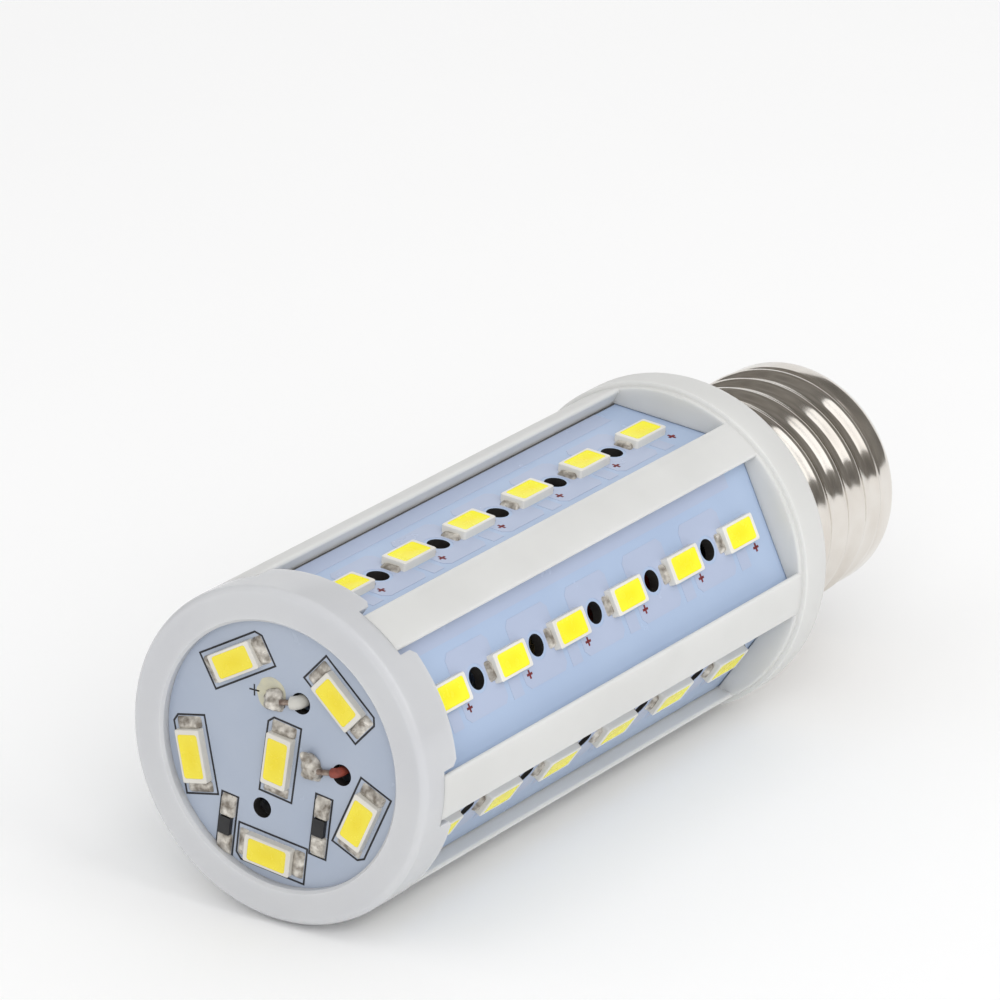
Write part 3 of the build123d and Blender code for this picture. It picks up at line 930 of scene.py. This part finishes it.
def dress_strip(index):
    """Board, copper, print and LEDs of one strip."""
    angle = LIE_TURN + STRIP_STEP * (index - 1)
    place, euler = strip_placing(angle)
    name = f"strip_{index}"

    def row(label, piece, coat, along, across=0.0, count=LED_COUNT):
        """A row of pieces on this strip, one LED pitch apart."""
        return grow(
            f"{name}_{label}",
            ROW,
            {
                "Piece": PIECE[piece],
                "Count": count,
                "First": mm(along, across, 0),
                "Step": mm(LED_PITCH, 0, 0),
                "Place": place,
                "Turn": Vector(euler),
                "Finish": coat,
            },
        )

    dressed_copy(f"{name}_board", "board", out=strip_out(angle))
    first_pad = FIRST_LED + LED_PITCH / 2
    rail_middle = (RAIL_START + RAIL_END) / 2
    rail_across = (BOARD_HALF + RAIL_INNER) / 2
    copper = [
        row("pads", "pad", COPPER_FINISH, first_pad, count=LED_COUNT - 1),
        row("tabs", "tab", COPPER_FINISH, FIRST_LED, TAB_ACROSS),
        row("rail", "rail", COPPER_FINISH, rail_middle, rail_across, count=1),
    ]
    put_on(join_objects(f"{name}_copper", copper), "board")
    # A dark strip of painted shade along the board's edge, under the rib
    gap_shade_middle = (RAIL_START + GAP_SHADE_END) / 2
    gap_shade_across = BOARD_HALF - GAP_SHADE_WIDTH / 2
    put_on(row("bare_edge", "bare_edge", PAINTED_GAP_SHADE_FINISH, gap_shade_middle, gap_shade_across, count=1), "board")
    put_on(row("marks", "plus", RED_PRINT, FIRST_LED + PLUS_PLACE[0], PLUS_PLACE[1]), "board")
    for part, piece, slot in (
        ("led_packages", "package", "led_package"),
        ("led_windows", "window", "led_phosphor"),
        ("solder", "strip_solder", "solder"),
    ):
        put_on(row(f"{part}_dressed", piece, FINISH[slot], FIRST_LED), slot, f"{name}_{part}")


def end_ring(name, piece, coat):
    """A ring of pieces on the end board, and one more in the middle."""
    place, euler = end_placing()
    place += euler.to_matrix() @ mm(*END_RING_MIDDLE, 0)
    ring = grow(
        name,
        RING,
        {
            "Piece": piece,
            "Count": END_LED_COUNT,
            "Radius": END_LED_RADIUS * MM,
            "Start Angle": math.radians(END_LED_START),
            "Place": place,
            "Turn": Vector(euler),
            "Finish": coat,
        },
    )
    single = placed_copy(f"{name}_single", piece, coat, on_end(*CENTRE_LED))
    return join_objects(name, [ring, single])


def placed_copy(name, piece, coat, matrix):
    """One copy of a pattern piece, with its place in its mesh."""
    mesh = piece.data.copy()
    mesh.transform(matrix)
    mesh.materials.clear()
    mesh.materials.append(coat)
    return mesh_object(name, mesh)


def dress_end_board():
    """Board, print, LEDs and chip resistors of the front."""
    dressed_copy("end_board", "board", out=Vector((0, -1, 0)), coat=END_BOARD_FINISH)
    # The end LEDs take darker copies of the resin and phosphor: painted shade
    rows = (
        ("led_packages", "package", "led_package", END_PACKAGE),
        ("led_windows", "window", "led_phosphor", SHADED_END_PHOSPHOR),
        ("solder", "end_solder", "solder", FINISH["solder"]),
    )
    for part, piece, slot, coat in rows:
        put_on(end_ring(f"end_{part}_dressed", PIECE[piece], coat), slot, f"end_{part}")
    prints = [end_ring("end_led_prints", PIECE["led_print"], BLACK_PRINT)]
    length, height = RESISTOR_SIZE
    frame_piece = piece_from("resistor_print_piece", build_frame_line(*RESISTOR_PRINT, 0))
    black_piece = piece_from("resistor_piece", build_plate(RESISTOR_BLACK, RESISTOR_COAT, height))
    metal_size = ((length - RESISTOR_BLACK) / 2 + RESISTOR_SOLDER[0], RESISTOR_SOLDER[1], height)
    metal_build = solder_builder(RESISTOR_BLACK, metal_size)
    metal_piece = piece_from("resistor_metal_piece", metal_build, SOLDER_SMOOTH)
    bodies = []
    metals = []
    for number, place in enumerate(RESISTORS):
        spot = on_end(*place)
        for pieces, label, piece, coat in (
            (prints, "resistor_print", frame_piece, BLACK_PRINT),
            (bodies, "resistor", black_piece, FINISH["resistor_body"]),
            (metals, "resistor_metal", metal_piece, FINISH["solder"]),
        ):
            pieces.append(placed_copy(f"{label}_{number}", piece, coat, spot))
    plus_build = build_plus(END_PLUS_REACH, END_PLUS_LINE, PRINT_HEIGHT)
    end_plus = piece_from("end_plus_piece", plus_build)
    prints.append(placed_copy("end_plus", end_plus, BLACK_PRINT, on_end(*END_PLUS)))
    put_on(join_objects("end_prints", prints), "board")
    put_on(join_objects("chip_resistors_dressed", bodies), "resistor_body", "chip_resistors")
    put_on(join_objects("resistor_solder_dressed", metals), "solder", "resistor_solder")
    for piece in (frame_piece, black_piece, metal_piece, end_plus):
        bpy.data.objects.remove(piece)


def build_blob(bm):
    """A lump of solder, uneven, flat on the board."""
    bmesh.ops.create_icosphere(bm, subdivisions=4, radius=BLOB_RADIUS * MM)
    for vert in bm.verts:
        wave = sum(noise.noise(vert.co * scale) * share for scale, share in BLOB_WAVES)
        vert.co *= 1 + wave
        vert.co.z = max(vert.co.z * BLOB_FLATNESS, 0)


def build_flux(bm):
    """A thin film with a wavy edge."""
    outline = []
    for step in range(FLUX_SIDES):
        angle = 2 * math.pi * step / FLUX_SIDES
        ray = Vector((math.cos(angle), math.sin(angle), FLUX_WAVE_LEVEL))
        reach = FLUX_RADIUS * (1 + FLUX_WAVE * noise.noise(ray * FLUX_WAVE_SCALE))
        outline.append((reach * math.cos(angle), reach * math.sin(angle)))
    stack_levels(bm, ((outline, 0), (outline, PRINT_HEIGHT)))


def wire_builder(points, radius):
    """A round wire along points of the end board's frame, closed at both ends."""

    def build(bm):
        rings = []
        side = Vector((0, 1, 0))
        for index, point in enumerate(points):
            ahead = points[min(index + 1, len(points) - 1)] - points[max(index - 1, 0)]
            side = (side - ahead * side.dot(ahead) / ahead.length_squared).normalized()
            other = ahead.normalized().cross(side)
            ring = []
            for step in range(WIRE_SIDES):
                angle = 2 * math.pi * step / WIRE_SIDES
                spoke = side * math.cos(angle) + other * math.sin(angle)
                ring.append(bm.verts.new((point + spoke * radius) * MM))
            rings.append(ring)
        close_rings(bm, rings)

    return build


def dress_lead(node, hole, joint, sleeve_radius, sleeve_finish):
    """A lead: its sleeve bends out of the hole, and its bare strand goes on to the joint."""
    way = (Vector(joint) - Vector(hole)).normalized() * SLEEVE_REACH
    below = Vector((*hole, SLEEVE_TURN))
    mouth = Vector((hole[0] + way.x, hole[1] + way.y, SLEEVE_HEIGHT))
    over = Vector((*hole, SLEEVE_HEIGHT))
    first_pull = below.lerp(over, SLEEVE_PULLS[0])
    last_pull = mouth.lerp(over, SLEEVE_PULLS[1])
    bend = interpolate_bezier(below, first_pull, last_pull, mouth, SLEEVE_STEPS)
    sleeve_path = [Vector((*hole, -LEAD_DEPTH)), *bend]
    end = Vector((*joint, STRAND_HEIGHT))
    inside = mouth - Vector((way.x, way.y, 0)) * STRAND_OVERLAP
    strand_path = [inside, mouth, mouth.lerp(end, 0.5), end]
    parts = []
    for label, path, radius, coat in (
        ("sleeve", sleeve_path, sleeve_radius, sleeve_finish),
        ("strand", strand_path, STRAND_RADIUS, STRAND_FINISH),
    ):
        piece = piece_from(f"{node}_{label}_piece", wire_builder(path, radius), SLEEVE_SMOOTH)
        parts.append(placed_copy(f"{node}_{label}", piece, coat, on_end(0, 0)))
        bpy.data.objects.remove(piece)
    put_on(join_objects(f"{node}_dressed", parts), "wire", node)


def build_spike(bm):
    """A lump of solder pulled out to a point."""
    build_blob(bm)
    tip = Vector(SPIKE_WAY).normalized()
    for vert in bm.verts:
        pull = max(0.0, vert.co.normalized().dot(tip)) if vert.co.length else 0.0
        vert.co += tip * pull**SPIKE_SHARPNESS * SPIKE_REACH * MM
        vert.co.z = max(vert.co.z, 0)


def dress_wires():
    """Solder joints, dried flux and the ends of the two leads."""
    blob = piece_from("blob_piece", build_blob, LUMP_SMOOTH)
    spike = piece_from("spike_piece", build_spike, LUMP_SMOOTH)
    flux = piece_from("flux_piece", build_flux)
    lumps = []
    for piece, joint in zip((blob, spike), JOINTS):
        lumps.append(placed_copy(f"{piece.name}_lump", piece, FINISH["solder"], on_end(*joint)))
    put_on(join_objects("lead_joints_dressed", lumps), "solder", "lead_joints")
    put_on(placed_copy("dried_flux", flux, FLUX_FINISH, on_end(*FLUX)), "board")
    for piece in (blob, spike, flux):
        bpy.data.objects.remove(piece)
    leads = (("positive_lead", WHITE_WIRE), ("negative_lead", FINISH["wire"]))
    for (node, coat), hole, joint, radius in zip(leads, WIRE_HOLES, JOINTS, SLEEVE_RADII):
        dress_lead(node, hole, joint, radius, coat)


# Screw shell


def ease(share):
    """A share kept from 0 to 1 that starts and ends gently."""
    share = max(0.0, min(1.0, share))
    return share * share * (3 - 2 * share)


def thread_height(station, angle):
    """Height of the rounded thread over its root, millimetres."""
    start = NECK + RIM_LENGTH
    turns = (station - start) / THREAD_PITCH - angle / (2 * math.pi)
    height = THREAD_DEPTH * (0.5 + 0.5 * math.cos(2 * math.pi * turns)) ** THREAD_NARROWING
    rise = station - start + THREAD_LEAD_IN
    fall = start + THREAD_LENGTH + THREAD_LEAD_OUT - station
    return height * ease(min(rise, fall) / THREAD_PITCH * THREAD_FADE)


def soft_max(first, second, reach):
    """The larger of two values, rounded over where they are close."""
    near = max(reach - abs(first - second), 0) / reach
    return max(first, second) + near * near * reach / 4


def shell_profile():
    """Stations and radii of the sheet's outer and inner faces, from the rim round to the rim."""
    root = THREAD_CREST - THREAD_DEPTH
    band = THREAD_CREST - BAND_STEP
    bore = root - SHEET
    thread_end = NECK + RIM_LENGTH + THREAD_LENGTH
    band_end = thread_end + BAND_LENGTH
    points = [(NECK, bore + RIM_ROUND), (NECK, root - RIM_ROUND)]
    length = thread_end - NECK - RIM_ROUND
    steps = int(length / SHELL_STEP)
    for step in range(steps + 1):
        station = NECK + RIM_ROUND + step * length / steps
        rise = ease((station - thread_end + BAND_SLOPE) / BAND_SLOPE)
        points.append((station, root + (band - root) * rise))
    points.append(((thread_end + band_end) / 2, band))
    for step in range(BASE_STEPS + 1):
        angle = math.radians(90 * step / BASE_STEPS)
        station = band_end + BASE_ROUND * math.sin(angle)
        points.append((station, band - BASE_ROUND * (1 - math.cos(angle))))
    end = band_end + BASE_ROUND
    points.append((end, band - BASE_LIP))
    outer_count = len(points)
    points += [
        (end - SHEET, band - BASE_LIP),
        (end - SHEET, band - BASE_ROUND),
        (band_end, band - SHEET),
        (thread_end, band - SHEET),
        (thread_end - BAND_SLOPE, bore),
        (NECK + RIM_ROUND, bore),
    ]
    return points, outer_count


def build_shell(bm):
    """The sheet's profile turned round the axis, with the thread on its outer face."""
    points, outer_count = shell_profile()
    root = THREAD_CREST - THREAD_DEPTH
    band_end = NECK + RIM_LENGTH + THREAD_LENGTH + BAND_LENGTH
    rings = []
    for index, (station, radius) in enumerate(points):
        threaded = 1 < index < outer_count and station < band_end
        y = FRONT_Y + station * MM
        ring = []
        for step in range(SHELL_SIDES):
            angle = 2 * math.pi * step / SHELL_SIDES
            reach = radius * MM
            if threaded:
                reach = soft_max(radius, root + thread_height(station, angle), THREAD_BLEND) * MM
            x = reach * math.sin(angle)
            ring.append(bm.verts.new((x, y, AXIS_Z + reach * math.cos(angle))))
        rings.append(ring)
    join_rings(bm, rings + rings[:1])
    bmesh.ops.recalc_face_normals(bm, faces=bm.faces)


def dress_shell():
    """The screw shell with its rounded thread, as one closed skin."""
    mesh = mesh_from("screw_shell_dressed", build_shell)
    smooth_by_angle(mesh, SHELL_SMOOTH)
    mesh.materials.append(FINISH["plated_shell"])
    put_on(mesh_object("screw_shell_dressed", mesh), "plated_shell", "screw_shell")


# The lamp

for entry in frame["record"]["subparts"]:
    node = nodes[entry["node"]]
    node.data.materials.clear()
    node.data.materials.append(FINISH[entry["material_slot"]])
nodes["positive_lead"].data.materials[0] = WHITE_WIRE

dressed_copy("housing", "body_plastic", shift=COLLAR_STEP)
dressed_copy("front_cap", "cap_plastic", shift=CAP_SEAM)
for strip in range(1, STRIP_COUNT + 1):
    dress_strip(strip)
dress_end_board()
dress_wires()
dress_shell()
dressed_copy("insulator", "insulator_black")
dressed_copy("centre_contact", "contact_metal")
for piece in PIECE.values():
    bpy.data.objects.remove(piece)


# Studio


def make_floor():
    """A wide pale floor that keeps the lamp's shadow."""

    def build(bm):
        bmesh.ops.create_grid(bm, x_segments=1, y_segments=1, size=FLOOR_HALF)

    mesh = mesh_from("floor", build)
    mesh.materials.append(finish("White paper", (254, 254, 254), (252, 252, 252), **PAPER))
    floor = mesh_object("floor", mesh)


def make_world():
    """Even pale light all round."""
    world = bpy.data.worlds.new("Studio")
    bpy.context.scene.world = world
    world.use_nodes = True
    background = world.node_tree.nodes["Background"]
    background.inputs["Color"].default_value = (1, 1, 1, 1)
    background.inputs["Strength"].default_value = WORLD_STRENGTH


def make_dark_room():
    """The dark room round the table. Only glossy pieces mirror it; it takes no light away."""

    def build(bm):
        bmesh.ops.create_icosphere(bm, subdivisions=4, radius=ROOM_RADIUS)

    mesh = mesh_from("dark_room", build)
    cloth = finish(
        "Dark cloth", (142, 138, 132), (112, 109, 105), patch=0.8, grain=5, gloss=(0.9, 1.0)
    )
    mesh.materials.append(cloth)
    room = mesh_object("dark_room", mesh)
    room.visible_camera = False
    room.visible_diffuse = False
    room.visible_shadow = False
    room.visible_transmission = False


def make_card():
    """A white card that stands behind the lamp, higher on the left. Glossy pieces mirror it."""

    def build(bm):
        bm.faces.new([bm.verts.new(corner) for corner in CARD_OUTLINE])

    mesh = mesh_from("white_card", build)
    mesh.materials.append(finish("White card", (250, 250, 250), (247, 247, 247), **PAPER))
    card = mesh_object("white_card", mesh)
    card.visible_camera = False
    card.visible_diffuse = False
    card.visible_shadow = False


def make_light(name, place, target, size, power, mirrored=True):
    """A soft light that faces a point. Glossy pieces show it only if it is mirrored."""
    light = bpy.data.lights.new(name, "AREA")
    light.shape = "RECTANGLE"
    light.size = size[0]
    light.size_y = size[1]
    light.energy = power
    obj = bpy.data.objects.new(name, light)
    bpy.context.scene.collection.objects.link(obj)
    obj.location = place
    obj.rotation_euler = (Vector(target) - Vector(place)).to_track_quat("-Z", "Y").to_euler()
    obj.visible_glossy = mirrored


def make_camera():
    """The photo's camera: its place is counted from the lamp's axis at the front."""
    turn = math.radians(CAMERA_TURN)
    rise = math.radians(CAMERA_RISE)
    level = math.cos(rise)
    back = Vector((math.sin(turn) * level, -math.cos(turn) * level, math.sin(rise)))
    right = Vector((math.cos(turn), math.sin(turn), 0))
    camera = bpy.data.cameras.new("Photo camera")
    camera.lens = CAMERA_LENS
    camera.sensor_width = CAMERA_SENSOR
    camera.clip_start = CAMERA_NEAR
    obj = bpy.data.objects.new("Photo camera", camera)
    bpy.context.scene.collection.objects.link(obj)
    place = Vector(CAMERA_PLACE) + Vector((0, FRONT_Y, AXIS_Z))
    axes = Matrix((right, back.cross(right), back)).transposed()
    obj.matrix_world = Matrix.Translation(place) @ axes.to_4x4()
    bpy.context.scene.camera = obj


make_floor()
make_world()
make_dark_room()
make_card()
make_light(
    "Front light",
    FRONT_LIGHT_PLACE,
    FRONT_LIGHT_TARGET,
    FRONT_LIGHT_SIZE,
    FRONT_LIGHT_POWER,
    mirrored=False,
)
make_light("Softbox", SOFTBOX_PLACE, SOFTBOX_TARGET, SOFTBOX_SIZE, SOFTBOX_POWER)
make_camera()
bpy.context.scene.view_settings.view_transform = "Standard"
